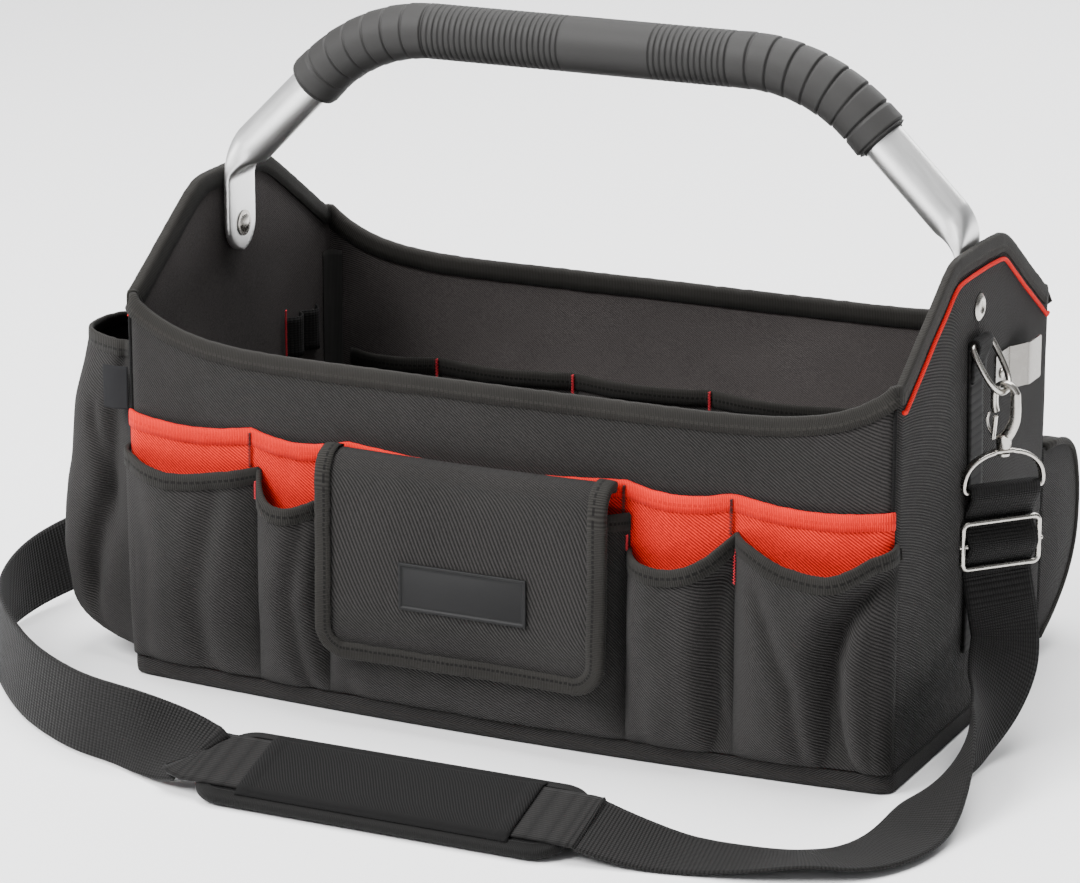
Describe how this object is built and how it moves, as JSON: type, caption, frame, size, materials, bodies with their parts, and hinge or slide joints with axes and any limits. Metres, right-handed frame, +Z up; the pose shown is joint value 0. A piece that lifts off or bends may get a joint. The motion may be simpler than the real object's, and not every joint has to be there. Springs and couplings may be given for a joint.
{
  "type": "tool bag",
  "caption": "Open rectangular tool bag in padded black cloth with front pockets over a red layer, a flap, a hinged tube handle and a shoulder strap on snap hooks.",
  "frame": {"origin": "middle of the flat underside of the base", "axes": "+X runs along the bag towards the end with the tape measure clip, -Y faces the front pockets, +Z is up"},
  "size_m": [0.6511, 0.4981, 0.3933],
  "materials": {
    "body_cloth": "coarse woven polyester, matt",
    "base_cloth": "coated cloth over a stiff board",
    "lining_cloth": "plain woven, matt",
    "binding": "ribbed woven tape",
    "webbing": "ribbed webbing",
    "pad_cloth": "matt cloth",
    "woven_label": "fine satin weave",
    "red_cloth": "coarse woven polyester, matt",
    "red_piping": "woven piping",
    "rubber_label": "moulded, matt",
    "rubber_grip": "moulded, ribbed, matt",
    "satin_tube": "satin anodised",
    "steel": "nickel plated"
  },
  "bodies": {
    "bag": {"base": "base_cloth", "front_panel": "body_cloth", "back_panel": "body_cloth", "left_end": "body_cloth", "right_end": "body_cloth", "front_rim_tape": "binding", "back_rim_tape": "binding", "left_gable_tape": "binding", "right_gable_tape": "binding", "left_piping": "red_piping", "right_piping": "red_piping", "corner_tape_left_front": "binding", "corner_tape_left_back": "binding", "corner_tape_right_front": "binding", "corner_tape_right_back": "binding", "red_layer": "red_cloth", "red_layer_tape": "red_cloth", "pocket_left_wide": "body_cloth", "pocket_left_wide_tape": "binding", "pocket_left_narrow": "body_cloth", "pocket_left_narrow_tape": "binding", "pocket_middle": "body_cloth", "pocket_right_narrow": "body_cloth", "pocket_right_narrow_tape": "binding", "pocket_right_wide": "body_cloth", "pocket_right_wide_tape": "binding", "flap": "body_cloth", "flap_tape": "binding", "rubber_label": "rubber_label", "side_label": "woven_label", "end_pocket": "body_cloth", "end_pocket_tape": "binding", "back_pocket": "body_cloth", "back_flap": "body_cloth", "inner_pockets": "lining_cloth", "tool_loops": "webbing", "left_rivet": "steel", "right_rivet": "steel", "left_end_webbing": "webbing", "right_end_webbing": "webbing", "left_ring": "steel", "right_ring": "steel", "left_hook": "steel", "right_hook": "steel", "left_eye": "steel", "right_eye": "steel", "left_slider": "steel", "right_slider": "steel", "tape_clip": "steel", "clip_rivet": "steel", "shoulder_strap": "webbing", "shoulder_pad": "pad_cloth", "pad_sleeve": "pad_cloth"},
    "handle": {"handle_tube": "satin_tube", "handle_grip": "rubber_grip"},
    "gate_left": {"left_gate": "steel"},
    "gate_right": {"right_gate": "steel"}
  },
  "joints": [
    {"name": "handle_fold", "type": "hinge", "parent": "bag", "child": "handle", "pos_m": [0, 0, 0.249], "axis": [1, 0, 0], "range_deg": [-98, 98]},
    {"name": "right_gate_press", "type": "hinge", "parent": "bag", "child": "gate_right", "pos_m": [0.2529, -0.006, 0.1777], "axis": [0, 1, 0], "range_deg": [0, 32], "stiffness_Nm_per_rad": 0.02, "springref_deg": -20.05},
    {"name": "left_gate_press", "type": "hinge", "parent": "bag", "child": "gate_left", "pos_m": [-0.2529, -0.006, 0.1777], "axis": [0, -1, 0], "range_deg": [0, 32], "stiffness_Nm_per_rad": 0.02, "springref_deg": -20.05}
  ]
}
